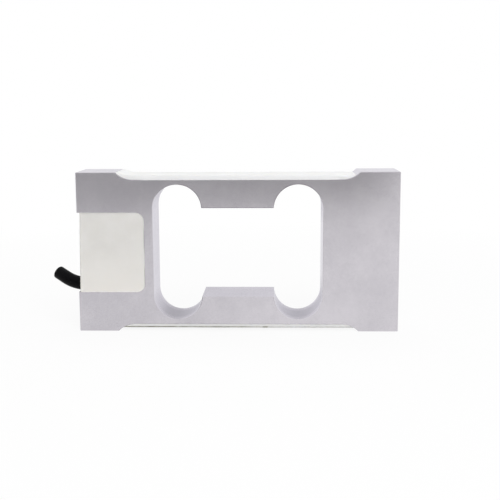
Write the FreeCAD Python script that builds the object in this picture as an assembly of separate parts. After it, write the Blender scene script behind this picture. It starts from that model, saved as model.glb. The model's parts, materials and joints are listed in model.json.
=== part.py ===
import FreeCAD
import Part
import math
import os

# Parallel-beam load cell, millimetres. +X runs to the live end, the wiring pocket opens on the -Y face,
# the cable leaves through the -X end face, and the beam stands on Z = 0.

# Beam block
LENGTH = 150.0
HEIGHT = 75.0
DEPTH = 24.0
EDGE_BREAK = 0.25
PAD_LENGTH = 18.5
RECESS_DEPTH = 3.4
RECESS_ARC_R = 11.0

# Window: two upright slots with round ends, joined by a lower middle
LOBE_R = 11.4
LOBE_X = 28.2
LOBE_RISE = 20.4
LAND_RISE = 20.9

# Wiring pocket, open at the cable end
POCKET_END_X = -43.6
POCKET_HEIGHT = 37.6
POCKET_DEPTH = 17.0
POCKET_CORNER_R = 4.0
POTTING_SETBACK_TOP = 1.2
POTTING_SETBACK_BOTTOM = 0.5
POTTING_LIP_R = 0.8

# Tapped holes in both end faces, drawn at the thread's major diameter
TAP_R = 3.0
TAP_DEPTH = 16.0
TAP_SPACING_Y = 12.0
TAP_SPACING_Z_FIXED = 56.0
TAP_SPACING_Z_LIVE = 50.0
TAP_MOUTH = 0.5
DRILL_POINT_ANGLE = 118.0
DRILL_WEB_R = 0.4

# Wire hole from each recess into the pocket
WIRE_HOLE_X = -50.0
WIRE_HOLE_R = 1.6

# Silicone over the gauges
SEAL_THICKNESS = 1.95
SEAL_SETBACK = 0.35
SEAL_EDGE_R = 1.0

# Strain gauges
BACKING_SIZE = (9.0, 6.0, 0.12)
GRID_THICKNESS = 0.06
GRID_STRANDS = 8
GRID_PITCH = 0.5
GRID_STRAND_WIDTH = 0.26
GRID_LENGTH = 4.0
TAB_SIZE = 1.4
TAB_Y = 0.9
TAB_X = -3.4
GAUGE_SOLDER = (0.5, 0.3, 0.45)

# Gauge leads: run height over the recess floor, place in the wire hole, and joints on the board
LEAD_R = 0.2
LEAD_BEND = 0.5
LEAD_HEIGHT = {"fixed": 0.9, "live": 1.5}
LEAD_HOLE_SHIFT = {"fixed": 0.4, "live": -0.4}
LEAD_JOINTS = {
    ("live", -1): (-54.0, 52.0),
    ("live", 1): (-57.0, 50.5),
    ("fixed", -1): (-60.0, 49.0),
    ("fixed", 1): (-63.0, 47.5),
}
LEAD_SOLDER = (0.55, 0.3, 0.5)

# Circuit board on the pocket's back wall
BOARD_X = (-70.0, -47.5)
BOARD_HEIGHT = 32.0
BOARD_THICKNESS = 1.2
BOARD_PAD_THICKNESS = 0.8
BOARD_PAD_MARGIN = 2.0
SPAN_RESISTOR = (6.3, 3.2, 0.7)
SPAN_RESISTOR_PLACES = ((-64.5, 42.0), (-64.5, 33.0))
ZERO_RESISTOR = (3.2, 1.6, 0.6)
ZERO_RESISTOR_PLACES = ((-66.0, 37.5), (-61.5, 37.5))

# Cable: straight in the potting, one bend up and back, then straight to the cut end
JACKET_R = 3.15
SHIELD_R = 2.1
SHIELD_BORE_R = 1.85
CORE_R = 0.7
CONDUCTOR_R = 0.35
CORE_OFFSET = 0.75
CABLE_Y = -8.0
CABLE_Z = 22.0
JACKET_INNER_X = -60.0
SHIELD_INNER_X = -59.0
CABLE_BEND_START_X = -70.8
CABLE_BEND_R = 19.0
CABLE_BEND_ANGLE = 37.0
CABLE_LEAN_ANGLE = 50.0
CABLE_END_RUN = 5.4
CORE_BEND = 1.5
CORE_JOINT_Z = 37.5
CORE_STRIP = 1.4
CORE_SOLDER = (1.0, 0.5, 0.9)
CORES = {
    "core_red": (1, -1, -56.5),
    "core_black": (1, 1, -54.3),
    "core_green": (-1, -1, -52.1),
    "core_white": (-1, 1, -49.9),
}

# How far a cutting solid reaches past a face, and how near two places count as one
CUT_MARGIN = 1.0
TOLERANCE = 1e-6

HALF_LENGTH = LENGTH / 2
HALF_DEPTH = DEPTH / 2
MID_Z = HEIGHT / 2
END_X = -HALF_LENGTH
FRONT_Y = -HALF_DEPTH
POCKET_BACK_Y = FRONT_Y + POCKET_DEPTH
POTTING_TOP_X = END_X + POTTING_SETBACK_TOP
POTTING_BOTTOM_X = END_X + POTTING_SETBACK_BOTTOM
TOP_FLOOR_Z = HEIGHT - RECESS_DEPTH
PAD_X = HALF_LENGTH - PAD_LENGTH
FLOOR_X = PAD_X - math.sqrt(2 * RECESS_ARC_R * RECESS_DEPTH - RECESS_DEPTH**2)
BOARD_BACK_Y = POCKET_BACK_Y - BOARD_PAD_THICKNESS
BOARD_FRONT_Y = BOARD_BACK_Y - BOARD_THICKNESS
GAUGE_X = {"fixed": -LOBE_X, "live": LOBE_X}

X_AXIS = FreeCAD.Vector(1, 0, 0)
Y_AXIS = FreeCAD.Vector(0, 1, 0)
Z_AXIS = FreeCAD.Vector(0, 0, 1)


def point(x, y, z):
    return FreeCAD.Vector(x, y, z)


def line(start, end):
    return Part.LineSegment(start, end).toShape()


def arc(start, middle, end):
    return Part.Arc(start, middle, end).toShape()


def block(x_range, y_range, z_range):
    """Box between two corners."""
    corner = point(x_range[0], y_range[0], z_range[0])
    sides = [high - low for low, high in (x_range, y_range, z_range)]
    return Part.makeBox(*sides, corner)


def plate(centre_x, centre_y, base_z, size):
    """Flat rectangular plate on base_z."""
    half_x = size[0] / 2
    half_y = size[1] / 2
    x_range = (centre_x - half_x, centre_x + half_x)
    y_range = (centre_y - half_y, centre_y + half_y)
    return block(x_range, y_range, (base_z, base_z + size[2]))


def flipped(shape):
    """The same shape on the other side of the beam's mid-height."""
    return shape.mirror(point(0, 0, MID_Z), Z_AXIS)


def route(points, bends):
    """Straight runs through the points, with a tangent arc of the given radius at each inner point."""
    edges = []
    start = points[0]
    for before, corner, after, bend in zip(points, points[1:], points[2:], bends):
        arriving = (corner - before).normalize()
        leaving = (after - corner).normalize()
        turn = arriving.getAngle(leaving)
        trim = bend * math.tan(turn / 2)
        arc_start = corner - arriving * trim
        arc_end = corner + leaving * trim
        inward = (leaving - arriving).normalize()
        arc_middle = corner + inward * (bend / math.cos(turn / 2) - bend)
        if (arc_start - start).Length > TOLERANCE:
            edges.append(line(start, arc_start))
        edges.append(arc(arc_start, arc_middle, arc_end))
        start = arc_end
    if (points[-1] - start).Length > TOLERANCE:
        edges.append(line(start, points[-1]))
    return Part.Wire(edges)


def rod(path, radius):
    """Round rod along a path."""
    first = path.Edges[0]
    direction = first.tangentAt(first.FirstParameter)
    ring = Part.Wire(Part.makeCircle(radius, first.valueAt(first.FirstParameter), direction))
    return path.makePipeShell([ring], True, True)


def solder_cone(size, base, direction):
    base_r, top_r, height = size
    return Part.makeCone(base_r, top_r, height, base, direction)


def recess_arc_point(angle):
    """Point of the recess's end arc, as X and height over the recess floor, measured from the flat floor."""
    return FLOOR_X + RECESS_ARC_R * math.sin(angle), RECESS_ARC_R * (1 - math.cos(angle))


def beam_outline():
    """Side view of the block: end pads, and a recess with arc ends along the top and bottom."""
    pad_angle = math.acos(1 - RECESS_DEPTH / RECESS_ARC_R)
    middle_x, middle_rise = recess_arc_point(pad_angle / 2)
    edges = []
    for side, pad_z, floor_z, up in ((1, 0, RECESS_DEPTH, -1), (-1, HEIGHT, TOP_FLOOR_Z, 1)):
        far = point(-side * PAD_X, FRONT_Y, pad_z)
        far_floor = point(-side * FLOOR_X, FRONT_Y, floor_z)
        near_floor = point(side * FLOOR_X, FRONT_Y, floor_z)
        near = point(side * PAD_X, FRONT_Y, pad_z)
        edges.append(line(point(-side * HALF_LENGTH, FRONT_Y, pad_z), far))
        edges.append(arc(far, point(-side * middle_x, FRONT_Y, floor_z + up * middle_rise), far_floor))
        edges.append(line(far_floor, near_floor))
        edges.append(arc(near_floor, point(side * middle_x, FRONT_Y, floor_z + up * middle_rise), near))
        end = point(side * HALF_LENGTH, FRONT_Y, pad_z)
        edges.append(line(near, end))
        edges.append(line(end, point(side * HALF_LENGTH, FRONT_Y, HEIGHT - pad_z)))
    return Part.Face(Part.Wire(edges))


def window():
    """The through-window's solid."""
    depth_range = (FRONT_Y - CUT_MARGIN, HALF_DEPTH + CUT_MARGIN)
    through = depth_range[1] - depth_range[0]
    solids = [block((-LOBE_X, LOBE_X), depth_range, (MID_Z - LAND_RISE, MID_Z + LAND_RISE))]
    for x in GAUGE_X.values():
        solids.append(block((x - LOBE_R, x + LOBE_R), depth_range, (MID_Z - LOBE_RISE, MID_Z + LOBE_RISE)))
        for z in (MID_Z - LOBE_RISE, MID_Z + LOBE_RISE):
            solids.append(Part.makeCylinder(LOBE_R, through, point(x, depth_range[0], z), Y_AXIS))
    return solids[0].fuse(solids[1:]).removeSplitter()


def pocket_fill(bottom_x, top_x, front_y):
    """The pocket's space from its open end, given at bottom and top, to its round-cornered inner end."""
    low_z = MID_Z - POCKET_HEIGHT / 2
    high_z = MID_Z + POCKET_HEIGHT / 2
    outline = [
        point(bottom_x, front_y, low_z),
        point(POCKET_END_X, front_y, low_z),
        point(POCKET_END_X, front_y, high_z),
        point(top_x, front_y, high_z),
    ]
    face = Part.Face(Part.makePolygon(outline + outline[:1]))
    solid = face.extrude(Y_AXIS * (POCKET_BACK_Y - front_y))
    corners = [
        edge
        for edge in solid.Edges
        if all(abs(vertex.X - POCKET_END_X) < TOLERANCE for vertex in edge.Vertexes)
        and abs(edge.Vertexes[0].Y - edge.Vertexes[1].Y) > TOLERANCE
    ]
    return solid.makeFillet(POCKET_CORNER_R, corners)


def tapped_hole(side, y, z):
    """Blind hole with a blunt drill point and a chamfered mouth, in the end face on that side."""
    inward = X_AXIS * -side
    mouth = point(side * HALF_LENGTH, y, z)
    tip_length = (TAP_R - DRILL_WEB_R) / math.tan(math.radians(DRILL_POINT_ANGLE / 2))
    hole = Part.makeCylinder(TAP_R, TAP_DEPTH, mouth, inward)
    tip = Part.makeCone(TAP_R, DRILL_WEB_R, tip_length, mouth + inward * TAP_DEPTH, inward)
    flare = Part.makeCone(TAP_R + TAP_MOUTH, TAP_R, TAP_MOUTH, mouth, inward)
    return hole.fuse([tip, flare])


def broken_edges(block_shape):
    """The block's edges on its front and back faces, and the cross edges at its four end corners."""
    chosen = []
    for edge in block_shape.Edges:
        on_face = all(abs(abs(vertex.Y) - HALF_DEPTH) < TOLERANCE for vertex in edge.Vertexes)
        same_face = abs(edge.Vertexes[0].Y - edge.Vertexes[-1].Y) < TOLERANCE
        at_end = all(abs(abs(vertex.X) - HALF_LENGTH) < TOLERANCE for vertex in edge.Vertexes)
        if on_face and (same_face or at_end):
            chosen.append(edge)
    return chosen


def make_beam_body():
    body = beam_outline().extrude(Y_AXIS * DEPTH).cut(window())
    body = body.makeChamfer(EDGE_BREAK, broken_edges(body))
    open_x = END_X - CUT_MARGIN
    cuts = [pocket_fill(open_x, open_x, FRONT_Y - CUT_MARGIN)]
    cuts.append(Part.makeCylinder(WIRE_HOLE_R, HEIGHT, point(WIRE_HOLE_X, 0, 0)))
    for side, spacing_z in ((-1, TAP_SPACING_Z_FIXED), (1, TAP_SPACING_Z_LIVE)):
        for y in (-TAP_SPACING_Y / 2, TAP_SPACING_Y / 2):
            for z in (MID_Z - spacing_z / 2, MID_Z + spacing_z / 2):
                cuts.append(tapped_hole(side, y, z))
    return body.cut(cuts)


def make_top_seal():
    """Silicone in the top recess: flat on top, round along both edges, and ending on the recess's arcs."""
    half_width = HALF_DEPTH - SEAL_SETBACK
    end_angle = math.acos(1 - SEAL_THICKNESS / RECESS_ARC_R)
    end_x, end_rise = recess_arc_point(end_angle)
    middle_x, middle_rise = recess_arc_point(end_angle / 2)

    def at(x, rise):
        return point(x, -half_width, TOP_FLOOR_Z + rise)

    side_view = Part.Wire(
        [
            line(at(-FLOOR_X, 0), at(FLOOR_X, 0)),
            arc(at(FLOOR_X, 0), at(middle_x, middle_rise), at(end_x, end_rise)),
            line(at(end_x, end_rise), at(-end_x, end_rise)),
            arc(at(-end_x, end_rise), at(-middle_x, middle_rise), at(-FLOOR_X, 0)),
        ]
    )
    solid = Part.Face(side_view).extrude(Y_AXIS * (2 * half_width))
    crown = [
        edge
        for edge in solid.Edges
        if abs(edge.Vertexes[0].Y - edge.Vertexes[-1].Y) < TOLERANCE
        and all(abs(vertex.Z - TOP_FLOOR_Z - SEAL_THICKNESS) < TOLERANCE for vertex in edge.Vertexes)
    ]
    return solid.makeFillet(SEAL_EDGE_R, crown)


def make_top_backing(end):
    return plate(GAUGE_X[end], 0, TOP_FLOOR_Z, BACKING_SIZE)


def make_top_grid(end):
    """Foil zigzag with a solder tab at each of its two ends."""
    base_z = TOP_FLOOR_Z + BACKING_SIZE[2]
    centre_x = GAUGE_X[end]
    tab_edge_x = centre_x + TAB_X + TAB_SIZE / 2
    far_x = tab_edge_x + GRID_LENGTH
    strip = GRID_STRAND_WIDTH / 2
    pieces = []
    rows = [(index - (GRID_STRANDS - 1) / 2) * GRID_PITCH for index in range(GRID_STRANDS)]
    for y in rows:
        pieces.append(block((tab_edge_x, far_x), (y - strip, y + strip), (base_z, base_z + GRID_THICKNESS)))
    for index in range(GRID_STRANDS - 1):
        loop_x = far_x if index % 2 == 0 else tab_edge_x + GRID_STRAND_WIDTH
        loop_range = (loop_x - GRID_STRAND_WIDTH, loop_x)
        pieces.append(
            block(loop_range, (rows[index] - strip, rows[index + 1] + strip), (base_z, base_z + GRID_THICKNESS))
        )
    for side, outer_row in ((-1, rows[0]), (1, rows[-1])):
        tab_size = (TAB_SIZE, TAB_SIZE, GRID_THICKNESS)
        pieces.append(plate(centre_x + TAB_X, side * TAB_Y, base_z, tab_size))
        outer_y = outer_row + side * strip
        neck_y = sorted((side * (TAB_Y + TAB_SIZE / 2), outer_y))
        neck_x = (tab_edge_x - GRID_STRAND_WIDTH, tab_edge_x + GRID_STRAND_WIDTH)
        pieces.append(block(neck_x, neck_y, (base_z, base_z + GRID_THICKNESS)))
    return pieces[0].fuse(pieces[1:]).removeSplitter()


def top_lead(end, side):
    """One lead: up from its tab, along the recess, down the wire hole, then across to the board."""
    y = side * TAB_Y
    tab_x = GAUGE_X[end] + TAB_X
    hole_x = WIRE_HOLE_X + LEAD_HOLE_SHIFT[end]
    joint_x, joint_z = LEAD_JOINTS[(end, side)]
    run_z = TOP_FLOOR_Z + LEAD_HEIGHT[end]
    points = [
        point(tab_x, y, TOP_FLOOR_Z + BACKING_SIZE[2] + GRID_THICKNESS),
        point(tab_x, y, run_z),
        point(hole_x, y, run_z),
        point(hole_x, y, joint_z),
        point(joint_x, y, joint_z),
        point(joint_x, BOARD_FRONT_Y, joint_z),
    ]
    return rod(route(points, [LEAD_BEND] * 4), LEAD_R)


def make_top_leads():
    return [top_lead(end, side) for end, side in LEAD_JOINTS]


def make_top_gauge_solder(leads):
    base_z = TOP_FLOOR_Z + BACKING_SIZE[2] + GRID_THICKNESS
    cones = []
    for end, side in LEAD_JOINTS:
        base = point(GAUGE_X[end] + TAB_X, side * TAB_Y, base_z)
        cones.append(solder_cone(GAUGE_SOLDER, base, Z_AXIS).cut(leads))
    return cones


def make_top_lead_solder(leads):
    cones = []
    for joint_x, joint_z in LEAD_JOINTS.values():
        base = point(joint_x, BOARD_FRONT_Y, joint_z)
        cones.append(solder_cone(LEAD_SOLDER, base, Y_AXIS * -1).cut(leads))
    return cones


def board_block(margin, y_range):
    half_height = BOARD_HEIGHT / 2 - margin
    x_range = (BOARD_X[0] + margin, BOARD_X[1] - margin)
    return block(x_range, y_range, (MID_Z - half_height, MID_Z + half_height))


def make_resistors(size, places):
    """Chip resistors standing on the board's front face."""
    chips = []
    for x, z in places:
        x_range = (x - size[0] / 2, x + size[0] / 2)
        z_range = (z - size[1] / 2, z + size[1] / 2)
        chips.append(block(x_range, (BOARD_FRONT_Y - size[2], BOARD_FRONT_Y), z_range))
    return chips


def cable_directions():
    """The bend's inward direction, its cross direction, and the direction that the cut end points in."""
    lean = math.radians(CABLE_LEAN_ANGLE)
    turn = math.radians(CABLE_BEND_ANGLE)
    inward = point(0, math.sin(lean), math.cos(lean))
    across = point(0, math.cos(lean), -math.sin(lean))
    end = X_AXIS * -math.cos(turn) + inward * math.sin(turn)
    return inward, across, end


def cable_bend(inward_offset, cross_offset):
    """Cut end, corner and bend radius of a line that runs beside the cable's centre."""
    inward, across, end_direction = cable_directions()
    bend = CABLE_BEND_R - inward_offset
    start = point(CABLE_BEND_START_X, CABLE_Y, CABLE_Z) + inward * inward_offset + across * cross_offset
    reach = bend * math.tan(math.radians(CABLE_BEND_ANGLE) / 2)
    corner = start - X_AXIS * reach
    return corner + end_direction * (reach + CABLE_END_RUN), corner, bend


def cable_rod(radius, inner_x):
    cut_end, corner, bend = cable_bend(0, 0)
    return rod(route([cut_end, corner, point(inner_x, CABLE_Y, CABLE_Z)], [bend]), radius)


def core_rod(core, radius, end_y):
    """One core from the cut end, out of the jacket and up to its joint on the board."""
    inward_side, cross_side, joint_x = CORES[core]
    cut_end, corner, bend = cable_bend(inward_side * CORE_OFFSET, cross_side * CORE_OFFSET)
    points = [
        cut_end,
        corner,
        point(joint_x, corner.y, corner.z),
        point(joint_x, corner.y, CORE_JOINT_Z),
        point(joint_x, end_y, CORE_JOINT_Z),
    ]
    return rod(route(points, [bend, CORE_BEND, CORE_BEND]), radius)


def make_core_solder(conductors):
    cones = []
    for core in CORES:
        base = point(CORES[core][2], BOARD_FRONT_Y, CORE_JOINT_Z)
        cones.append(solder_cone(CORE_SOLDER, base, Y_AXIS * -1).cut(conductors))
    return cones


def make_potting(embedded):
    """Silicone fill around the wiring, its open end leaning out towards the bottom, with a round front lip."""
    solid = pocket_fill(POTTING_BOTTOM_X, POTTING_TOP_X, FRONT_Y)
    lip = [
        edge
        for edge in solid.Edges
        if all(vertex.X < POTTING_TOP_X + TOLERANCE for vertex in edge.Vertexes)
        and all(abs(vertex.Y - FRONT_Y) < TOLERANCE for vertex in edge.Vertexes)
    ]
    return solid.makeFillet(POTTING_LIP_R, lip).cut(embedded)


def make_parts():
    top_leads = make_top_leads()
    bottom_leads = [flipped(lead) for lead in top_leads]
    top_gauge_solder = make_top_gauge_solder(top_leads)
    bottom_gauge_solder = [flipped(cone) for cone in top_gauge_solder]
    top_lead_solder = make_top_lead_solder(top_leads)

    parts = {"beam_body": make_beam_body()}
    top_gauges = []
    for end in GAUGE_X:
        backing = make_top_backing(end)
        grid = make_top_grid(end)
        top_gauges += [backing, grid]
        parts[f"gauge_backing_top_{end}"] = backing
        parts[f"gauge_backing_bottom_{end}"] = flipped(backing)
        parts[f"gauge_grid_top_{end}"] = grid
        parts[f"gauge_grid_bottom_{end}"] = flipped(grid)

    seal = make_top_seal().cut(top_gauges + top_gauge_solder + top_leads)
    parts["top_gauge_seal"] = seal
    parts["bottom_gauge_seal"] = flipped(seal)
    parts["top_gauge_leads"] = Part.makeCompound(top_leads)
    parts["bottom_gauge_leads"] = Part.makeCompound(bottom_leads)
    parts["gauge_solder"] = Part.makeCompound(top_gauge_solder + bottom_gauge_solder)

    board = board_block(0, (BOARD_FRONT_Y, BOARD_BACK_Y))
    pad = board_block(BOARD_PAD_MARGIN, (BOARD_BACK_Y, POCKET_BACK_Y))
    span_resistors = make_resistors(SPAN_RESISTOR, SPAN_RESISTOR_PLACES)
    zero_resistors = make_resistors(ZERO_RESISTOR, ZERO_RESISTOR_PLACES)

    jacket_solid = cable_rod(JACKET_R, JACKET_INNER_X)
    shield_solid = cable_rod(SHIELD_R, SHIELD_INNER_X)
    shield_bore = cable_rod(SHIELD_BORE_R, SHIELD_INNER_X)
    conductors = [core_rod(core, CONDUCTOR_R, BOARD_FRONT_Y) for core in CORES]
    core_solids = [core_rod(core, CORE_R, BOARD_FRONT_Y - CORE_STRIP) for core in CORES]
    board_solder = top_lead_solder + [flipped(cone) for cone in top_lead_solder] + make_core_solder(conductors)

    parts["trim_board"] = board
    parts["board_pad"] = pad
    parts["span_resistors"] = Part.makeCompound(span_resistors)
    parts["zero_resistors"] = Part.makeCompound(zero_resistors)
    parts["board_solder"] = Part.makeCompound(board_solder)
    parts["cable_jacket"] = jacket_solid.cut(shield_solid)
    parts["cable_shield"] = shield_solid.cut(shield_bore)
    for core, solid, conductor in zip(CORES, core_solids, conductors):
        parts[core] = solid.cut(conductor)
    parts["core_conductors"] = Part.makeCompound(conductors)

    embedded = [board, pad, jacket_solid, shield_solid]
    embedded += span_resistors + zero_resistors + board_solder
    embedded += top_leads + bottom_leads + core_solids + conductors
    parts["end_potting"] = make_potting(embedded)
    return parts


def main():
    os.makedirs("parts", exist_ok=True)
    for name, shape in make_parts().items():
        shape.exportStep(f"parts/{name}.step")
    print("cable bend radius", CABLE_BEND_R, "mm")


main()
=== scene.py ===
import bmesh
import bpy
import json
import math
from mathutils import Matrix, Vector, noise


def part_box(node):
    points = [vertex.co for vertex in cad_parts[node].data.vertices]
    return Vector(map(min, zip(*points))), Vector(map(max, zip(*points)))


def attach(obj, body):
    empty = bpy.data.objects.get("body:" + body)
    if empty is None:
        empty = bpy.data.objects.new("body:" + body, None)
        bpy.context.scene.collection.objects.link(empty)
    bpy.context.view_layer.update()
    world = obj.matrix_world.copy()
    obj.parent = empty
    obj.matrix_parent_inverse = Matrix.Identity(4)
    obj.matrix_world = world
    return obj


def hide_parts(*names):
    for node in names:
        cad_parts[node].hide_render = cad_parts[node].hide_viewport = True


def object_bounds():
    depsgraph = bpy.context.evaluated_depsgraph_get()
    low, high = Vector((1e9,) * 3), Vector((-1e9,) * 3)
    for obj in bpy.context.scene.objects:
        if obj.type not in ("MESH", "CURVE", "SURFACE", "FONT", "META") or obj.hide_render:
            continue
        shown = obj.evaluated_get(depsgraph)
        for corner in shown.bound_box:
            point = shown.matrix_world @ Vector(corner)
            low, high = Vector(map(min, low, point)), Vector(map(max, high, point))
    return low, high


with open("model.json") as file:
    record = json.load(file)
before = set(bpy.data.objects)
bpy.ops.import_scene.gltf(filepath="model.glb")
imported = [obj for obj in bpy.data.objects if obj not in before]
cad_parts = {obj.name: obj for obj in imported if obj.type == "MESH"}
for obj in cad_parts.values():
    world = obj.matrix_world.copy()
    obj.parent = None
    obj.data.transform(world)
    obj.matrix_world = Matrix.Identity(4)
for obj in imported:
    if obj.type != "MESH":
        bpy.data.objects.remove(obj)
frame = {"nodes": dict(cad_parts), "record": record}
cad_low, cad_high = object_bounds()

# Metres; the beam stands on Z = 0, its wiring pocket opens towards -Y and its cable leaves towards -X
MM = 0.001
BODY = "root"
UP = Vector((0, 0, 1))
ALONG = Vector((1, 0, 0))
FRONT = Vector((0, -1, 0))
MOUNTS = {mount["name"]: mount for mount in frame["record"]["mounts"]}
BOLT_PATTERNS = ("fixed_end_bolts", "live_end_bolts")
CORES = ("core_red", "core_black", "core_green", "core_white")

# Camera of the photograph: place, turn in degrees, lens and sensor in millimetres
CAMERA_PLACE = (18.43 * MM, -432.23 * MM, 104.95 * MM)
CAMERA_TURN = (81.056, 0.260, 1.689)
CAMERA_LENS = 65.83
CAMERA_SENSOR = 36.0

# White floor: it keeps a shadow near the object and glows more the further out it is
FLOOR_SIZE = 8.0
FLOOR_COLOUR = (0.92, 0.92, 0.92)
FLOOR_ROUGHNESS = 0.9
FLOOR_GLOW_NEAR = 0.90
FLOOR_GLOW_REACH = (0.12, 0.40)

# Grey flag behind the camera for the metal to mirror: its feet in X and Y, and its colours along X
FLAG_LEFT = (-0.50, -0.32)
FLAG_RIGHT = (0.15, -0.61)
FLAG_HEIGHT = 0.30
FLAG_COLOURS = ((0.80, 0.80, 0.80), (0.51, 0.51, 0.51))
FLAG_SHIFT_X = (-0.15, 0.10)

# World: its light, and a grey card in it that begins and ends by direction
WORLD_LIGHT = 0.385
CARD_BACK = (0.40, 0.70)
CARD_FOOT = (0.25, 0.31)
CARD_TOP = (0.50, 0.65)
CARD_SHADE = 0.57

# Soft lights: place, size and power
SOFTBOXES = {
    "key_softbox": ((0.20, -0.75, 0.90), 0.60, 7.2),
    "back_softbox": ((0.0, 0.45, 1.10), 0.60, 3.0),
    "side_softbox": ((0.80, -0.21, 0.60), 0.40, 0.45),
}

# Aluminium: noise as scale, detail, roughness and stretch, and how much of the weaker ones counts
GRAIN_NOISE = (4500, 3, 0.5, (0.08, 1, 1))
CUTTER_NOISE = (2600, 2, 0.5, (1, 0.03, 1))
CLOUD_NOISE = (60, 5, 0.6)
SPECKLE_NOISE = (1300, 2, 0.5)
SPECKLE_WEIGHT = 0.35
CUTTER_WEIGHT = 0.3

# Aluminium: colours and their slow shift along X, which paints shade on the cable end and light on the live
# end, grazing tint, gloss, and relief as strength and height
METAL_COLOURS = ((0.545, 0.524, 0.562), (0.655, 0.630, 0.668))
METAL_TONE = (0.40, 0.95)
METAL_SHADE_SHIFT_X = (-60.0 * MM, 30.0 * MM)
METAL_SHADE_SHIFT = (-0.20, 0.12)
METAL_GRAZING = (0.925, 0.917, 0.96)
METAL_GLOSS = (0.16, 0.20)
METAL_RELIEF = (0.03, 0.004 * MM)
LINES_SPAN = (0.25, 0.75)

# Aluminium: how squarely a surface faces the front or back where big faces begin, and where walls end
BIG_FACE_TURN = (0.6, 0.9)
WALL_TURN = (0.3, 0.6)

# Window's round lobes: a rougher finish and a colour painted darker as shade in their hollows, both fading
# out up their sides and towards their rims
WINDOW_HALF_X = 41.0 * MM
WINDOW_MIDDLE_Z = 37.5 * MM
LOBE_SHADE_COLOURS = ((0.49, 0.474, 0.516), (0.54, 0.523, 0.57))
LOBE_SHADE_SHIFT_X = (-20.0 * MM, 20.0 * MM)
LOBE_GLOSS = (0.30, 0.36)
LOBE_RISE = (19.0 * MM, 29.5 * MM)
LOBE_TOP_RISE = 33.0 * MM
LOBE_OUTER_X = (29.0 * MM, 37.0 * MM)
LOBE_OUTER_RISE = 7.0 * MM
LOBE_RIM_Y = (5.0 * MM, 12.0 * MM)
LOBE_RIM_SHARE = 0.3

# Tapped holes: a colour painted darker still as shade and a rougher finish, its reach round each axis and
# along X, and where the two ends divide
TAPPED_SHADE_COLOUR = (0.40, 0.385, 0.41)
TAPPED_GLOSS = (0.34, 0.42)
TAPPED_REACH = 3.52 * MM
TAPPED_INNER_X = 57.0 * MM
BETWEEN_ENDS_X = (-1.0 * MM, 1.0 * MM)

# Silicone: colours, with the bottom seal's painted darker as shade, noise as scale, detail and roughness,
# pits, sheen, depth of light and relief
SEAL_COLOURS = ((0.90, 0.90, 0.89), (0.94, 0.94, 0.935))
SHADED_SEAL_COLOURS = ((0.815, 0.815, 0.80), (0.855, 0.855, 0.845))
POTTING_COLOURS = ((0.722, 0.708, 0.679), (0.776, 0.763, 0.739))
SILICONE_CLOUDS = (110, 4, 0.55)
SEAL_SKIN = (700, 5, 0.6)
POTTING_SKIN = (900, 5, 0.6)
NOISE_SPAN = (0.3, 0.7)
PIT_SCALE = 330
PIT_SPAN = (0.03, 0.09)
PIT_WEIGHT = 0.5
SILICONE_GLOSS = (0.42, 0.58)
SILICONE_SPECULAR = 0.25
SILICONE_SUBSURFACE = 0.12
SILICONE_SUBSURFACE_RADIUS = (1.0, 0.9, 0.7)
SILICONE_SUBSURFACE_SCALE = 1.2 * MM
SILICONE_RELIEF = (0.25, 0.08 * MM)

# Top seal's front edge, painted greyer as shade
SEAL_FRONT_SHADE_COLOUR = (0.84, 0.84, 0.838)
SEAL_FRONT_SHADE_Y = (-11.0 * MM, -9.0 * MM)

# Painted shade on the bottom seal: a dark line along its low front edge, less towards the live end, with
# one darker spot
SHADE_LINE_COLOUR = (0.26, 0.255, 0.20)
SHADE_LINE_X = (-2 * MM, 14 * MM)
SHADE_LINE_Y = (-10.7 * MM, -10.2 * MM)
SHADE_LINE_Z = (2.05 * MM, 2.45 * MM)
SHADE_LINE_REST = 0.25
SHADE_LINE_SPOT_X = 12.6 * MM
SHADE_LINE_SPOT_REACH = (0.6 * MM, 1.8 * MM)
SHADE_LINE_SPOT_SHARE = 1.2
SHADE_LINE_PATCHES = (120, 3, 0.6)
SHADE_LINE_PATCH_SPAN = (0.3, 0.6)
SHADE_LINE_PATCH_SHARES = (0.5, 1.0)

# Potting's low part, painted paler as light, and the patchy dark joint at its inner end, painted as shade
# in the gap
POTTING_LIGHT_COLOUR = (0.838, 0.814, 0.775)
POTTING_LIGHT_Z = (18.7 * MM, 40.0 * MM)
JOINT_SHADE_COLOUR = (0.22, 0.21, 0.20)
JOINT_SHADE_X = (-43.95 * MM, -43.75 * MM)
JOINT_PATCHES = (70, 2, 0.5)
JOINT_PATCH_SPAN = (0.42, 0.6)
JOINT_PATCH_SHARES = (0.0, 0.8)

# Small finishes: darker colour, paler colour, roughness and scale of the grain
PLAIN_FINISHES = {
    "gauge_backing": ((0.58, 0.30, 0.06), (0.68, 0.40, 0.10), 0.35, 900),
    "lead_insulation": ((0.60, 0.48, 0.24), (0.70, 0.58, 0.30), 0.40, 1500),
    "board_laminate": ((0.02, 0.16, 0.07), (0.03, 0.22, 0.09), 0.38, 700),
    "board_adhesive": ((0.70, 0.70, 0.68), (0.80, 0.80, 0.78), 0.70, 1200),
    "resistor_body": ((0.02, 0.02, 0.02), (0.05, 0.05, 0.05), 0.30, 1500),
    "cable_jacket": ((0.002, 0.002, 0.0025), (0.004, 0.004, 0.005), 0.38, 1600),
    "core_insulation_red": ((0.50, 0.015, 0.015), (0.60, 0.03, 0.03), 0.35, 1500),
    "core_insulation_black": ((0.012, 0.012, 0.012), (0.02, 0.02, 0.02), 0.35, 1500),
    "core_insulation_green": ((0.015, 0.25, 0.07), (0.03, 0.32, 0.10), 0.35, 1500),
    "core_insulation_white": ((0.78, 0.78, 0.76), (0.86, 0.86, 0.84), 0.35, 1500),
}
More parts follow.
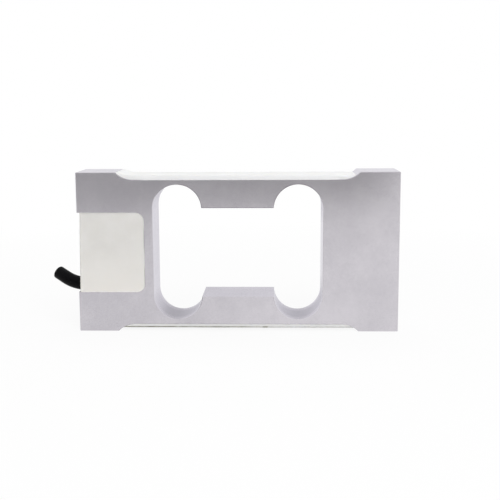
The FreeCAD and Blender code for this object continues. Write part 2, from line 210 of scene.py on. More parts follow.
METAL_FINISHES = {
    "gauge_foil": ((0.60, 0.50, 0.38), (0.70, 0.60, 0.46), 0.35, 2500),
    "solder": ((0.62, 0.62, 0.63), (0.74, 0.74, 0.74), 0.28, 1800),
    "cable_braid": ((0.50, 0.48, 0.45), (0.72, 0.70, 0.66), 0.35, 3500),
    "copper_strand": ((0.62, 0.28, 0.14), (0.80, 0.42, 0.24), 0.30, 3500),
}
SMALL_GRAIN = (4, 0.6)
SMALL_GLOSS_SPREAD = 0.05
SMALL_RELIEF = (0.2, 0.02 * MM)
USUAL_SPECULAR = 0.5
JACKET_SPECULAR = 0.05

# Working distances, angles and roundings for meshes
MERGE_DISTANCE = 0.002 * MM
FLAT_ANGLE = math.radians(0.5)
SKIN_ANGLE = math.radians(35)
SMOOTH_ANGLE = math.radians(40)
SAME_WAY = 0.99
ROUNDING_SEGMENTS = 3

# Seals: grid over the skin, and waves as frequency per metre along X, Y and Z, and height
SEAL_PITCH = 0.9 * MM
SEAL_WAVES = (((70, 150, 150), 0.05 * MM), ((260, 420, 420), 0.012 * MM))
SEAL_SINK = 0.03 * MM

# Silicone drawn up the recess's ramp: profile in X and Z
CLIMB_PROFILE = tuple(
    (x * MM, z * MM)
    for x, z in (
        (-46.5, 73.50), (-50.5, 73.66), (-53.0, 73.98), (-55.0, 74.45), (-56.4, 74.94),
        (-55.0, 73.62), (-53.4, 72.70), (-51.5, 71.95), (-49.5, 71.70), (-46.5, 71.70),
    )
)
CLIMB_HALF_WIDTH = 11.65 * MM
CLIMB_ROUNDING = 0.30 * MM
CLIMB_SIDE_FACING = 0.9
CLIMB_CROWN_FACING = 0.5

# Silicone wiped over the recess's front edge: profile in Y and Z, and the tip that each end fades to
WIPED_PROFILE = tuple(
    (y * MM, z * MM)
    for y, z in (
        (-11.50, 71.61), (-11.74, 71.61), (-11.985, 71.365), (-11.985, 71.75), (-11.90, 72.25),
        (-11.60, 72.80), (-11.50, 72.80),
    )
)
WIPED_HALF_LENGTH = 43.0 * MM
WIPED_FADE = 6.5 * MM
WIPED_TIP = (-11.6 * MM, 71.68 * MM)
WIPED_TIP_SIZE = 0.1

# Potting: grid and waves as on the seals, and the rim drawn in along the pocket's edge
POTTING_PITCH = 1.0 * MM
POTTING_WAVES = (((90, 90, 90), 0.07 * MM), ((330, 330, 330), 0.02 * MM))
POTTING_SINK = 0.05 * MM
POTTING_RIM = 0.5 * MM
POTTING_RIM_DROP = 0.22 * MM
POCKET_SIDE_FACING = 0.1

# Thread in the tapped holes
THREAD_PITCH = 1.0 * MM
THREAD_TURNS = 14
THREAD_STEPS = 32
THREAD_DEPTH = 0.54 * MM
THREAD_SINK = 0.02 * MM
THREAD_ROOT = 0.88 * MM
THREAD_CREST = 0.16 * MM
THREAD_START = 1.0 * MM

# Cable's cut end: softened edges, copper strands, and the braid's wire ends
CUT_FACING = -0.71
CUT_ROUNDING = {"cable_jacket": 0.28 * MM, "cable_shield": 0.06 * MM}
CORE_ROUNDING = 0.08 * MM
STRAND_R = 0.11 * MM
STRAND_RING = 0.22 * MM
STRANDS_ROUND = 6
BRAID_WIRE_R = 0.09 * MM
BRAID_WIRES = 36
STUB_SIDES = 8
STUB_DEPTH = 0.5 * MM
STUB_REACH = 0.22 * MM
STUB_REACH_MEAN = 0.65
STUB_REACH_SWING = 0.35
STUB_REACH_STEP = 2.4


# Node helpers

def start_material(name):
    """A new material with its tree, its shader and its Object coordinates."""
    material = bpy.data.materials.new(name)
    material.use_nodes = True
    tree = material.node_tree
    shader = tree.nodes["Principled BSDF"]
    place = tree.nodes.new("ShaderNodeTexCoord").outputs["Object"]
    return material, tree, shader, place


def split_place(tree, place):
    """X, Y and Z of a place or direction."""
    parts = tree.nodes.new("ShaderNodeSeparateXYZ")
    tree.links.new(place, parts.inputs["Vector"])
    return parts.outputs["X"], parts.outputs["Y"], parts.outputs["Z"]


def add_noise(tree, place, scale, detail, roughness, stretch=(1, 1, 1)):
    """Noise on Object coordinates; stretch multiplies its frequency along each axis."""
    mapping = tree.nodes.new("ShaderNodeMapping")
    mapping.inputs["Scale"].default_value = stretch
    texture = tree.nodes.new("ShaderNodeTexNoise")
    texture.inputs["Scale"].default_value = scale
    texture.inputs["Detail"].default_value = detail
    texture.inputs["Roughness"].default_value = roughness
    tree.links.new(place, mapping.inputs["Vector"])
    tree.links.new(mapping.outputs["Vector"], texture.inputs["Vector"])
    return texture.outputs["Fac"]


def add_range(tree, value, low, high, to_low, to_high):
    """The value's span from low to high carried over to another span."""
    node = tree.nodes.new("ShaderNodeMapRange")
    spans = {"From Min": low, "From Max": high, "To Min": to_low, "To Max": to_high}
    for socket, number in spans.items():
        node.inputs[socket].default_value = number
    tree.links.new(value, node.inputs["Value"])
    return node.outputs["Result"]


def add_math(tree, operation, first, second):
    """Arithmetic on two values; the second may be a plain number."""
    node = tree.nodes.new("ShaderNodeMath")
    node.operation = operation
    tree.links.new(first, node.inputs[0])
    if isinstance(second, (int, float)):
        node.inputs[1].default_value = second
    else:
        tree.links.new(second, node.inputs[1])
    return node.outputs["Value"]


def add_size(tree, value):
    """The value without its sign."""
    return add_math(tree, "ABSOLUTE", value, 0.0)


def add_product(tree, first, *others):
    """All the values multiplied together."""
    for other in others:
        first = add_math(tree, "MULTIPLY", first, other)
    return first


def add_choice(tree, share, first, second):
    """Value between two values, by a share from 0 to 1."""
    node = tree.nodes.new("ShaderNodeMix")
    tree.links.new(share, node.inputs["Factor"])
    tree.links.new(first, node.inputs["A"])
    tree.links.new(second, node.inputs["B"])
    return node.outputs["Result"]


def add_colour(tree, share, first, second):
    """Colour between two colours, each plain or made by other nodes, by a share from 0 to 1."""
    node = tree.nodes.new("ShaderNodeMix")
    node.data_type = "RGBA"
    for socket, colour in (("A", first), ("B", second)):
        if isinstance(colour, tuple):
            node.inputs[socket].default_value = (*colour, 1)
        else:
            tree.links.new(colour, node.inputs[socket])
    tree.links.new(share, node.inputs["Factor"])
    return node.outputs["Result"]


def add_relief(tree, shader, height, strength, distance):
    """Fine relief on the shader's normal."""
    node = tree.nodes.new("ShaderNodeBump")
    node.inputs["Strength"].default_value = strength
    node.inputs["Distance"].default_value = distance
    tree.links.new(height, node.inputs["Height"])
    tree.links.new(node.outputs["Normal"], shader.inputs["Normal"])


def add_seen(tree):
    """1 for rays that show the backdrop: seen directly, mirrored, or through something clear."""
    path = tree.nodes.new("ShaderNodeLightPath")
    direct = add_math(tree, "MAXIMUM", path.outputs["Is Camera Ray"], path.outputs["Is Glossy Ray"])
    return add_math(tree, "MAXIMUM", direct, path.outputs["Is Transmission Ray"])


# Aluminium

def lobe_share(tree, x, y, rise, turn):
    """Up to 1 on the walls of the window's round lobes; it spreads further on the live end's outer side."""
    across = add_math(tree, "LESS_THAN", add_size(tree, x), WINDOW_HALF_X)
    below_top = add_math(tree, "LESS_THAN", rise, LOBE_TOP_RISE)
    outer = add_range(tree, x, *LOBE_OUTER_X, 0.0, LOBE_OUTER_RISE)
    height = add_range(tree, add_math(tree, "ADD", rise, outer), *LOBE_RISE, 0.0, 1.0)
    wall = add_range(tree, turn, *WALL_TURN, 1.0, 0.0)
    rim = add_range(tree, add_size(tree, y), *LOBE_RIM_Y, 1.0, LOBE_RIM_SHARE)
    return add_product(tree, across, below_top, height, wall, rim)


def tapped_share(tree, x, y, rise):
    """1 inside the tapped holes, which the record's bolt patterns place."""
    fixed, live = [MOUNTS[name]["dims"] for name in BOLT_PATTERNS]
    half_heights = [dims["spacing_y_mm"] * MM / 2 for dims in (fixed, live)]
    aside = add_math(tree, "SUBTRACT", add_size(tree, y), fixed["spacing_x_mm"] * MM / 2)
    above = add_math(tree, "SUBTRACT", rise, add_range(tree, x, *BETWEEN_ENDS_X, *half_heights))
    square = add_math(tree, "ADD", add_product(tree, aside, aside), add_product(tree, above, above))
    near_axis = add_math(tree, "LESS_THAN", square, TAPPED_REACH**2)
    deep = add_math(tree, "GREATER_THAN", add_size(tree, x), TAPPED_INNER_X)
    return add_product(tree, near_axis, deep)


def metal_colour(tree, place, x):
    """Soft clouds and fine speckle, with painted shade that is darker towards the cable end and paler
    towards the live end.
    """
    speckle = add_product(tree, add_noise(tree, place, *SPECKLE_NOISE), SPECKLE_WEIGHT)
    tone = add_math(tree, "ADD", speckle, add_noise(tree, place, *CLOUD_NOISE))
    # Painted shade: the colour darkens towards the cable end and pales towards the live end
    along = add_range(tree, x, *METAL_SHADE_SHIFT_X, *METAL_SHADE_SHIFT)
    share = add_range(tree, add_math(tree, "ADD", tone, along), *METAL_TONE, 0.0, 1.0)
    return add_colour(tree, share, *METAL_COLOURS)


def beam_aluminium():
    """Satin machined aluminium: grain on big faces, cutter lines elsewhere, rougher in lobes and holes,
    where shade is painted into the colour.
    """
    material, tree, shader, place = start_material("beam_aluminium")
    x, y, z = split_place(tree, place)
    rise = add_size(tree, add_math(tree, "SUBTRACT", z, WINDOW_MIDDLE_Z))
    normal = tree.nodes.new("ShaderNodeNewGeometry").outputs["Normal"]
    turn = add_size(tree, split_place(tree, normal)[1])
    lobe = lobe_share(tree, x, y, rise, turn)
    tapped = tapped_share(tree, x, y, rise)

    # Painted shade: a darker colour in the window's lobes
    lobe_shade_colour = add_colour(tree, add_range(tree, x, *LOBE_SHADE_SHIFT_X, 0.0, 1.0), *LOBE_SHADE_COLOURS)
    lobe_shaded = add_colour(tree, lobe, metal_colour(tree, place, x), lobe_shade_colour)
    # Painted shade: the tapped holes darker still
    tree.links.new(add_colour(tree, tapped, lobe_shaded, TAPPED_SHADE_COLOUR), shader.inputs["Base Color"])

    big_face = add_range(tree, turn, *BIG_FACE_TURN, 0.0, 1.0)
    grain = add_noise(tree, place, *GRAIN_NOISE)
    cutter = add_noise(tree, place, *CUTTER_NOISE)
    lines = add_choice(tree, big_face, cutter, grain)
    face_gloss = add_range(tree, lines, *LINES_SPAN, *METAL_GLOSS)
    lobe_gloss = add_range(tree, lines, *LINES_SPAN, *LOBE_GLOSS)
    tapped_gloss = add_range(tree, lines, *LINES_SPAN, *TAPPED_GLOSS)
    gloss = add_choice(tree, tapped, add_choice(tree, lobe, face_gloss, lobe_gloss), tapped_gloss)
    tree.links.new(gloss, shader.inputs["Roughness"])
    shader.inputs["Metallic"].default_value = 1.0
    shader.inputs["Specular Tint"].default_value = (*METAL_GRAZING, 1)
    height = add_choice(tree, big_face, add_product(tree, cutter, CUTTER_WEIGHT), grain)
    add_relief(tree, shader, height, *METAL_RELIEF)
    return material


# Silicone

def cast_silicone(name, colours, skin_noise):
    """Cured silicone: soft colour clouds, a fine uneven skin, small pits and a satin sheen."""
    material, tree, shader, place = start_material(name)
    share = add_range(tree, add_noise(tree, place, *SILICONE_CLOUDS), *NOISE_SPAN, 0.0, 1.0)
    tree.links.new(add_colour(tree, share, *colours), shader.inputs["Base Color"])
    skin = add_noise(tree, place, *skin_noise)
    tree.links.new(add_range(tree, skin, *NOISE_SPAN, *SILICONE_GLOSS), shader.inputs["Roughness"])
    cells = tree.nodes.new("ShaderNodeTexVoronoi")
    cells.inputs["Scale"].default_value = PIT_SCALE
    tree.links.new(place, cells.inputs["Vector"])
    pits = add_range(tree, cells.outputs["Distance"], *PIT_SPAN, 0.0, 1.0)
    height = add_math(tree, "ADD", add_product(tree, pits, PIT_WEIGHT), skin)
    shader.inputs["Specular IOR Level"].default_value = SILICONE_SPECULAR
    shader.inputs["Subsurface Weight"].default_value = SILICONE_SUBSURFACE
    shader.inputs["Subsurface Radius"].default_value = SILICONE_SUBSURFACE_RADIUS
    shader.inputs["Subsurface Scale"].default_value = SILICONE_SUBSURFACE_SCALE
    add_relief(tree, shader, height, *SILICONE_RELIEF)
    return material


def add_overlay(material, make_share, colour):
    """A second colour laid over a finish, by a share made from each place."""
    tree = material.node_tree
    base = tree.nodes["Principled BSDF"].inputs["Base Color"]
    place = tree.nodes.new("ShaderNodeTexCoord").outputs["Object"]
    laid = add_colour(tree, make_share(tree, place), base.links[0].from_socket, colour)
    tree.links.new(laid, base)


def front_shade_share(tree, place):
    """The seal's front edge, painted greyer than the rest as shade."""
    _, y, _ = split_place(tree, place)
    return add_range(tree, y, *SEAL_FRONT_SHADE_Y, 1.0, 0.0)


def shade_line_share(tree, place):
    """Painted shade along the front of the bottom seal's outer edge, heaviest towards the cable end."""
    x, y, z = split_place(tree, place)
    low = add_range(tree, z, *SHADE_LINE_Z, 1.0, 0.0)
    front = add_range(tree, y, *SHADE_LINE_Y, 1.0, 0.0)
    away = add_size(tree, add_math(tree, "SUBTRACT", x, SHADE_LINE_SPOT_X))
    spot = add_range(tree, away, *SHADE_LINE_SPOT_REACH, SHADE_LINE_SPOT_SHARE, 0.0)
    along = add_math(tree, "MAXIMUM", add_range(tree, x, *SHADE_LINE_X, 1.0, SHADE_LINE_REST), spot)
    spots = add_noise(tree, place, *SHADE_LINE_PATCHES)
    patches = add_range(tree, spots, *SHADE_LINE_PATCH_SPAN, *SHADE_LINE_PATCH_SHARES)
    return add_product(tree, low, front, along, patches)


def potting_light_share(tree, place):
    """The potting's lower part, painted paler and creamier as light."""
    _, _, z = split_place(tree, place)
    return add_range(tree, z, *POTTING_LIGHT_Z, 1.0, 0.0)


def joint_shade_share(tree, place):
    """The thin joint along the potting's inner end, painted dark in patches as shade in its gap."""
    x, _, _ = split_place(tree, place)
    joint = add_range(tree, x, *JOINT_SHADE_X, 0.0, 1.0)
    spots = add_noise(tree, place, *JOINT_PATCHES)
    patches = add_range(tree, spots, *JOINT_PATCH_SPAN, *JOINT_PATCH_SHARES)
    return add_product(tree, joint, patches)


# All finishes

def small_finish(name, low, high, roughness, scale, metallic, specular):
    """A small piece's finish: slight change of colour and gloss, and fine relief."""
    material, tree, shader, place = start_material(name)
    grain = add_noise(tree, place, scale, *SMALL_GRAIN)
    share = add_range(tree, grain, *NOISE_SPAN, 0.0, 1.0)
    tree.links.new(add_colour(tree, share, low, high), shader.inputs["Base Color"])
    glosses = (roughness - SMALL_GLOSS_SPREAD, roughness + SMALL_GLOSS_SPREAD)
    tree.links.new(add_range(tree, grain, *NOISE_SPAN, *glosses), shader.inputs["Roughness"])
    shader.inputs["Metallic"].default_value = metallic
    shader.inputs["Specular IOR Level"].default_value = specular
    add_relief(tree, shader, grain, *SMALL_RELIEF)
    return material


def make_finishes():
    """Every finish of the record by its slot, and the bottom seal's darker copy with painted shade."""
    potting = cast_silicone("potting_silicone", POTTING_COLOURS, POTTING_SKIN)
    # Painted light: the potting paler towards its bottom
    add_overlay(potting, potting_light_share, POTTING_LIGHT_COLOUR)
    # Painted shade: the gap at the potting's inner end dark in patches
    add_overlay(potting, joint_shade_share, JOINT_SHADE_COLOUR)
    # Painted shade: the bottom seal in a darker copy of the seal's silicone, with a dark line painted along
    # its low front edge
    shaded_seal = cast_silicone("shaded_seal_silicone", SHADED_SEAL_COLOURS, SEAL_SKIN)
    add_overlay(shaded_seal, shade_line_share, SHADE_LINE_COLOUR)
    seal = cast_silicone("seal_silicone", SEAL_COLOURS, SEAL_SKIN)
    # Painted shade: the top seal's front edge greyer
    add_overlay(seal, front_shade_share, SEAL_FRONT_SHADE_COLOUR)
    finishes = {
        "beam_aluminium": beam_aluminium(),
        "potting_silicone": potting,
        "seal_silicone": seal,
        "shaded_seal_silicone": shaded_seal,
    }
    for metallic, table in ((0.0, PLAIN_FINISHES), (1.0, METAL_FINISHES)):
        for slot, look in table.items():
            specular = JACKET_SPECULAR if slot == "cable_jacket" else USUAL_SPECULAR
            finishes[slot] = small_finish(slot, *look, metallic, specular)
    return finishes


def dress_nodes(finishes):
    """Gives every node the finish that the record names for it."""
    for part in frame["record"]["subparts"]:
        node = frame["nodes"][part["node"]]
        node.data.materials.clear()
        node.data.materials.append(finishes[part["material_slot"]])


# Mesh helpers

def finish_piece(bm, name, slot, finish, *replaced):
    """Makes the piece's object, smooth over its gentle edges, and fixes it to the beam."""
    mesh = bpy.data.meshes.new(name)
    bm.to_mesh(mesh)
    bm.free()
    mesh.shade_smooth()
    mesh.set_sharp_from_angle(angle=SMOOTH_ANGLE)
    mesh.materials.append(finish)
    piece = bpy.data.objects.new(name, mesh)
    bpy.context.scene.collection.objects.link(piece)
    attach(piece, BODY)
    if replaced:
        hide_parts(*replaced)


def merged_copy(node):
    """A copy of a node's mesh, its loose triangles joined and its flat faces made whole."""
    bm = bmesh.new()
    bm.from_mesh(frame["nodes"][node].data)
    bmesh.ops.remove_doubles(bm, verts=bm.verts, dist=MERGE_DISTANCE)
    bmesh.ops.dissolve_limit(bm, angle_limit=FLAT_ANGLE, verts=bm.verts, edges=bm.edges)
    return bm


def outer_face(bm, direction):
    """The largest flat face that looks in a direction."""
    facing = [face for face in bm.faces if face.normal.dot(direction) > SAME_WAY]
    return max(facing, key=lambda face: face.calc_area())


def skin_faces(first):
    """The faces that run on smoothly from a first one."""
    found = {first}
    waiting = [first]
    while waiting:
        face = waiting.pop()
        for edge in face.edges:
            for other in edge.link_faces:
                if other not in found and face.normal.angle(other.normal, math.pi) < SKIN_ANGLE:
                    found.add(other)
                    waiting.append(other)
    return found


def slice_skin(bm, faces, pitch):
    """Cuts a skin into a grid of about that pitch and returns its new faces."""
    verts = {vert for face in faces for vert in face.verts}
    edges = {edge for face in faces for edge in face.edges}
    skin = [*verts, *edges, *faces]
    for axis in range(3):
        places = [vert.co[axis] for vert in verts]
        low = min(places)
        span = max(places) - low
        count = round(span / pitch)
        direction = Vector([float(axis == other) for other in range(3)])
        for index in range(1, count):
            place = direction * (low + span * index / count)
            cut = bmesh.ops.bisect_plane(
                bm, geom=skin, dist=MERGE_DISTANCE, plane_co=place, plane_no=direction
            )
            skin = cut["geom"]
    return {item for item in skin if isinstance(item, bmesh.types.BMFace)}


def wave_skin(bm, faces, waves, sink):
    """Moves a skin along its normals by soft waves; its rim stays where it is."""
    bm.normal_update()
    inner = [
        vert
        for vert in {vert for face in faces for vert in face.verts}
        if all(face in faces for face in vert.link_faces)
    ]
    for vert in inner:
        height = -sink
        for frequency, depth in waves:
            spot = Vector([place * often for place, often in zip(vert.co, frequency)])
            height += depth * noise.noise(spot)
        vert.co += vert.normal * height


def extruded_verts(bm, face):
    """The new vertices of a face that is drawn out, still in their old places."""
    grown = bmesh.ops.extrude_face_region(bm, geom=[face, *face.edges])["geom"]
    return [item for item in grown if isinstance(item, bmesh.types.BMVert)]


def swept_outline(corners, sweep):
    """A flat outline drawn out along a straight line, closed at both ends."""
    bm = bmesh.new()
    end = bm.faces.new([bm.verts.new(corner) for corner in corners])
    bmesh.ops.translate(bm, verts=extruded_verts(bm, end), vec=sweep)
    bmesh.ops.recalc_face_normals(bm, faces=bm.faces)
    return bm


def soften_edges(bm, edges, width):
    """Rounds edges off over a width."""
    bmesh.ops.bevel(
        bm,
        geom=edges,
        offset=width,
        segments=ROUNDING_SEGMENTS,
        profile=0.5,
        affect="EDGES",
        material=-1,
    )


# Silicone pieces

def make_seal(node, out, finish, finishes):
    """Silicone over the gauges, spread by hand, with long soft waves along the recess."""
    bm = merged_copy(node)
    faces = slice_skin(bm, skin_faces(outer_face(bm, out)), SEAL_PITCH)
    wave_skin(bm, faces, SEAL_WAVES, SEAL_SINK)
    finish_piece(bm, f"{node}_spread", "seal_silicone", finishes[finish], node)


def make_seal_climb(finishes):
    """The top seal's end at the cable side, drawn up the recess's ramp as far as the pad."""
    corners = [(x, CLIMB_HALF_WIDTH, z) for x, z in CLIMB_PROFILE]
    bm = swept_outline(corners, FRONT * 2 * CLIMB_HALF_WIDTH)
    crown = [
        edge
        for edge in bm.edges
        if any(abs(face.normal.y) > CLIMB_SIDE_FACING for face in edge.link_faces)
        and any(face.normal.z > CLIMB_CROWN_FACING for face in edge.link_faces)
    ]
    soften_edges(bm, crown, CLIMB_ROUNDING)
    finish_piece(bm, "top_seal_climb", "seal_silicone", finishes["seal_silicone"])


def make_wiped_edge(finishes):
    """The top seal's front edge, wiped flush over the recess's broken edge; both ends fade out."""
    corners = [(-WIPED_HALF_LENGTH, y, z) for y, z in WIPED_PROFILE]
    bm = swept_outline(corners, ALONG * 2 * WIPED_HALF_LENGTH)
    for outward in (-1, 1):
        shoulder = Vector((outward * WIPED_HALF_LENGTH, *WIPED_TIP))
        tip = shoulder + ALONG * outward * WIPED_FADE
        for vert in extruded_verts(bm, outer_face(bm, ALONG * outward)):
            vert.co = tip + (vert.co - shoulder) * WIPED_TIP_SIZE
    bmesh.ops.recalc_face_normals(bm, faces=bm.faces)
    finish_piece(bm, "top_seal_wiped_edge", "seal_silicone", finishes["seal_silicone"])


def make_potting(finishes):
    """Silicone cast in the pocket: slightly wavy, and drawn in along the pocket's edge."""
    bm = merged_copy("end_potting")
    front = outer_face(bm, FRONT)
    rim = [
        vert
        for vert in front.verts
        if any(abs(face.normal.y) < POCKET_SIDE_FACING for face in vert.link_faces)
    ]
    bmesh.ops.inset_region(
        bm, faces=[front], thickness=POTTING_RIM, use_even_offset=True, use_boundary=True
    )
    for vert in rim:
        vert.co -= FRONT * POTTING_RIM_DROP
    bm.normal_update()
    faces = slice_skin(bm, skin_faces(front), POTTING_PITCH)
    wave_skin(bm, faces, POTTING_WAVES, POTTING_SINK)
    finish_piece(bm, "end_potting_cast", "potting_silicone", finishes["potting_silicone"], "end_potting")


# Thread

def hole_mouths():
    """Mouth, inward direction and radius of each tapped hole, from the record's bolt patterns."""
    mouths = []
    for name in BOLT_PATTERNS:
        mount = MOUNTS[name]
        dims = mount["dims"]
        half_y = dims["spacing_x_mm"] * MM / 2
        half_z = dims["spacing_y_mm"] * MM / 2
        for y in (-half_y, half_y):
            for z in (-half_z, half_z):
                mouth = Vector(mount["pos_m"]) + Vector((0, y, z))
                mouths.append((mouth, -Vector(mount["axis"]), dims["hole_r_mm"] * MM))
    return mouths


def thread_ridge(radius):
    """One helical ridge for a hole of that radius, from X = 0 along the X axis."""
    bm = bmesh.new()
    section = (
        (-THREAD_ROOT / 2, THREAD_SINK),
        (-THREAD_CREST / 2, -THREAD_DEPTH),
        (THREAD_CREST / 2, -THREAD_DEPTH),
        (THREAD_ROOT / 2, THREAD_SINK),
    )
    face = bm.faces.new([bm.verts.new((along, 0, radius + out)) for along, out in section])
    bmesh.ops.spin(
        bm,
        geom=[face, *face.edges, *face.verts],
        axis=ALONG,
        dvec=ALONG * THREAD_PITCH / THREAD_STEPS,
        angle=math.tau * THREAD_TURNS,
        steps=THREAD_STEPS * THREAD_TURNS,
        use_merge=False,
    )
    bmesh.ops.recalc_face_normals(bm, faces=bm.faces)
    mesh = bpy.data.meshes.new("thread_ridge")
    bm.to_mesh(mesh)
    bm.free()
    return mesh


def make_threads(finishes):
    """The same ridge in each tapped hole."""
    mouths = hole_mouths()
    ridge = thread_ridge(mouths[0][2])
    bm = bmesh.new()
    for mouth, inward, _ in mouths:
        earlier = len(bm.verts)
        bm.from_mesh(ridge)
        bm.verts.ensure_lookup_table()
        turn = ALONG.rotation_difference(inward).to_matrix().to_4x4()
        place = Matrix.Translation(mouth + inward * THREAD_START)
        bmesh.ops.transform(bm, matrix=place @ turn, verts=bm.verts[earlier:])
    bpy.data.meshes.remove(ridge)
    finish_piece(bm, "tapped_hole_threads", "beam_aluminium", finishes["beam_aluminium"])


# Cable end

def cut_polygons(node):
    """A node's polygons on its cut end, out past the beam's end face."""
    end_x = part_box("beam_body")[0][0]
    polygons = frame["nodes"][node].data.polygons
    return [face for face in polygons if face.normal.x < CUT_FACING and face.center.x < end_x]


def cut_face(node):
    """Middle and outward direction of a node's cut end."""
    polygons = cut_polygons(node)
    area = sum(face.area for face in polygons)
    middle = sum((face.center * face.area for face in polygons), Vector()) / area
    return middle, polygons[0].normal.copy()


def shield_radii(middle):
    """Outer and inner radius of the braid at its cut end."""
    mesh = frame["nodes"]["cable_shield"].data
    corners = {index for face in cut_polygons("cable_shield") for index in face.vertices}
    distances = [(mesh.vertices[index].co - middle).length for index in corners]
    return max(distances), min(distances)


def make_cut_piece(node, slot, rounding, finishes):
    """A piece of the cable with the edges of its cut end softened."""
    bm = merged_copy(node)
    middle, direction = cut_face(node)
    ring = [
        edge
        for edge in bm.edges
        if all(abs((vert.co - middle).dot(direction)) < MERGE_DISTANCE for vert in edge.verts)
        and edge.calc_face_angle(0.0) > SMOOTH_ANGLE
    ]
    soften_edges(bm, ring, rounding)
    finish_piece(bm, f"{node}_cut", slot, finishes[slot], node)


def uneven_reach(index):
    """Reach of a wire end, a little different from its neighbours'."""
    return STUB_REACH * (STUB_REACH_MEAN + STUB_REACH_SWING * math.sin(index * STUB_REACH_STEP))


def add_stub(bm, middle, direction, radius, reach):
    """A short round wire end that stands out of the cut."""
    turn = direction.to_track_quat("Z", "Y").to_matrix().to_4x4()
    place = Matrix.Translation(middle + direction * (reach - STUB_DEPTH / 2))
    bmesh.ops.create_cone(
        bm,
        cap_ends=True,
        segments=STUB_SIDES,
        radius1=radius,
        radius2=radius,
        depth=STUB_DEPTH,
        matrix=place @ turn,
    )


def ring_places(middle, direction, radius, count):
    """Places spaced evenly on a circle round a direction."""
    side = direction.orthogonal().normalized() * radius
    turns = [Matrix.Rotation(math.tau * index / count, 3, direction) for index in range(count)]
    return [middle + turn @ side for turn in turns]


def make_strands(finishes):
    """Copper strands in the four cores."""
    bm = bmesh.new()
    for core in CORES:
        middle, direction = cut_face(core)
        places = [middle, *ring_places(middle, direction, STRAND_RING, STRANDS_ROUND)]
        for index, place in enumerate(places):
            add_stub(bm, place, direction, STRAND_R, uneven_reach(index))
    finish_piece(bm, "conductor_strands", "copper_strand", finishes["copper_strand"])


def make_braid_ends(finishes):
    """The braid's wire ends, in a ring round the cores."""
    bm = bmesh.new()
    middle, direction = cut_face("cable_shield")
    outer, inner = shield_radii(middle)
    for index, place in enumerate(ring_places(middle, direction, (outer + inner) / 2, BRAID_WIRES)):
        add_stub(bm, place, direction, BRAID_WIRE_R, uneven_reach(index))
    finish_piece(bm, "braid_wire_ends", "cable_braid", finishes["cable_braid"])


def make_cable(finishes):
    """The cable's pieces with softened cuts, and the wires that stand out of them."""
    slots = {part["node"]: part["material_slot"] for part in frame["record"]["subparts"]}
    roundings = {**CUT_ROUNDING, **{core: CORE_ROUNDING for core in CORES}}
    for node, rounding in roundings.items():
        make_cut_piece(node, slots[node], rounding, finishes)
    make_strands(finishes)
    make_braid_ends(finishes)


# Studio

def make_camera():
    """The photograph's camera."""
    data = bpy.data.cameras.new("photo_camera")
    data.sensor_width = CAMERA_SENSOR
    data.lens = CAMERA_LENS
    camera = bpy.data.objects.new("photo_camera", data)
    camera.location = CAMERA_PLACE
    camera.rotation_euler = [math.radians(angle) for angle in CAMERA_TURN]
    bpy.context.scene.collection.objects.link(camera)
    bpy.context.scene.camera = camera


def make_softbox(name, place, size, power):
    """A square soft light that faces the object's middle; metal mirrors the white studio instead of it."""
    data = bpy.data.lights.new(name, "AREA")
    data.size = size
    data.energy = power
    lamp = bpy.data.objects.new(name, data)
    lamp.location = place
    lamp.visible_glossy = False
    target = (cad_low + cad_high) / 2
    lamp.rotation_euler = (target - Vector(place)).to_track_quat("-Z", "Y").to_euler()
    bpy.context.scene.collection.objects.link(lamp)


def stage_plane(name, corners, material):
    """A flat staging surface through its corners."""
    bm = bmesh.new()
    bm.faces.new([bm.verts.new(corner) for corner in corners])
    mesh = bpy.data.meshes.new(name)
    bm.to_mesh(mesh)
    bm.free()
    mesh.materials.append(material)
    plane = bpy.data.objects.new(name, mesh)
    bpy.context.scene.collection.objects.link(plane)
    return plane


def floor_material():
    """White floor that keeps a soft shadow near the object and fades into the backdrop further out."""
    material, tree, shader, place = start_material("studio_floor")
    shader.inputs["Base Color"].default_value = (*FLOOR_COLOUR, 1)
    shader.inputs["Roughness"].default_value = FLOOR_ROUGHNESS
    distance = tree.nodes.new("ShaderNodeVectorMath")
    distance.operation = "LENGTH"
    tree.links.new(place, distance.inputs[0])
    glow = add_range(tree, distance.outputs["Value"], *FLOOR_GLOW_REACH, FLOOR_GLOW_NEAR, 1.0)
    white = tree.nodes.new("ShaderNodeEmission")
    mix = tree.nodes.new("ShaderNodeMixShader")
    tree.links.new(add_product(tree, glow, add_seen(tree)), mix.inputs["Fac"])
    tree.links.new(shader.outputs["BSDF"], mix.inputs[1])
    tree.links.new(white.outputs["Emission"], mix.inputs[2])
    tree.links.new(mix.outputs["Shader"], tree.nodes["Material Output"].inputs["Surface"])
    return material


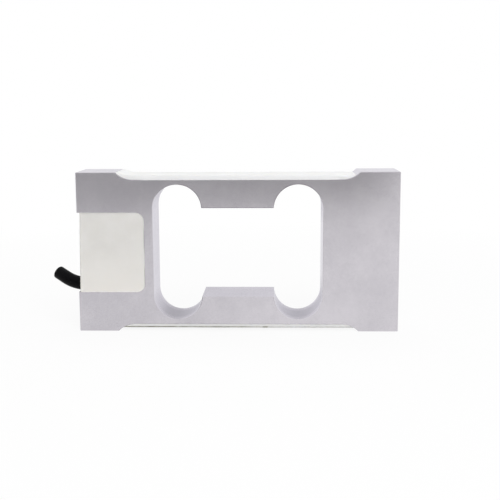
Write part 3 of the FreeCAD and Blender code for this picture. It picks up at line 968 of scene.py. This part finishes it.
def flag_material():
    """Matt grey, darker towards its right."""
    material, tree, shader, place = start_material("studio_flag")
    share = add_range(tree, split_place(tree, place)[0], *FLAG_SHIFT_X, 0.0, 1.0)
    tree.links.new(add_colour(tree, share, *FLAG_COLOURS), shader.inputs["Base Color"])
    return material


def make_stage():
    """The floor, and the flag, which the camera doesn't see."""
    half = FLOOR_SIZE / 2
    floor = ((-half, -half, 0), (half, -half, 0), (half, half, 0), (-half, half, 0))
    stage_plane("studio_floor", floor, floor_material())
    flag = (
        (*FLAG_LEFT, 0),
        (*FLAG_LEFT, FLAG_HEIGHT),
        (*FLAG_RIGHT, FLAG_HEIGHT),
        (*FLAG_RIGHT, 0),
    )
    stage_plane("studio_flag", flag, flag_material()).visible_camera = False


def make_world():
    """White all round with a grey card high behind the object; dimmer as a light than as a backdrop."""
    world = bpy.data.worlds.new("studio")
    world.use_nodes = True
    tree = world.node_tree
    background = tree.nodes["Background"]
    _, back, rise = split_place(tree, tree.nodes.new("ShaderNodeTexCoord").outputs["Generated"])
    above_foot = add_range(tree, rise, *CARD_FOOT, 0.0, 1.0)
    below_top = add_range(tree, rise, *CARD_TOP, 1.0, 0.0)
    behind = add_range(tree, back, *CARD_BACK, 0.0, 1.0)
    card = add_product(tree, above_foot, below_top, behind)
    shade = add_range(tree, card, 0.0, 1.0, 1.0, CARD_SHADE)
    level = add_range(tree, add_seen(tree), 0.0, 1.0, WORLD_LIGHT, 1.0)
    background.inputs["Color"].default_value = (1, 1, 1, 1)
    tree.links.new(add_product(tree, level, shade), background.inputs["Strength"])
    bpy.context.scene.world = world


def main():
    """The camera, the dressed object and the studio."""
    bpy.context.scene.view_settings.view_transform = "Standard"
    make_camera()
    finishes = make_finishes()
    dress_nodes(finishes)
    make_seal("top_gauge_seal", UP, "seal_silicone", finishes)
    make_seal("bottom_gauge_seal", -UP, "shaded_seal_silicone", finishes)
    make_seal_climb(finishes)
    make_wiped_edge(finishes)
    make_potting(finishes)
    make_threads(finishes)
    make_cable(finishes)
    make_stage()
    for name, (place, size, power) in SOFTBOXES.items():
        make_softbox(name, place, size, power)
    make_world()


main()
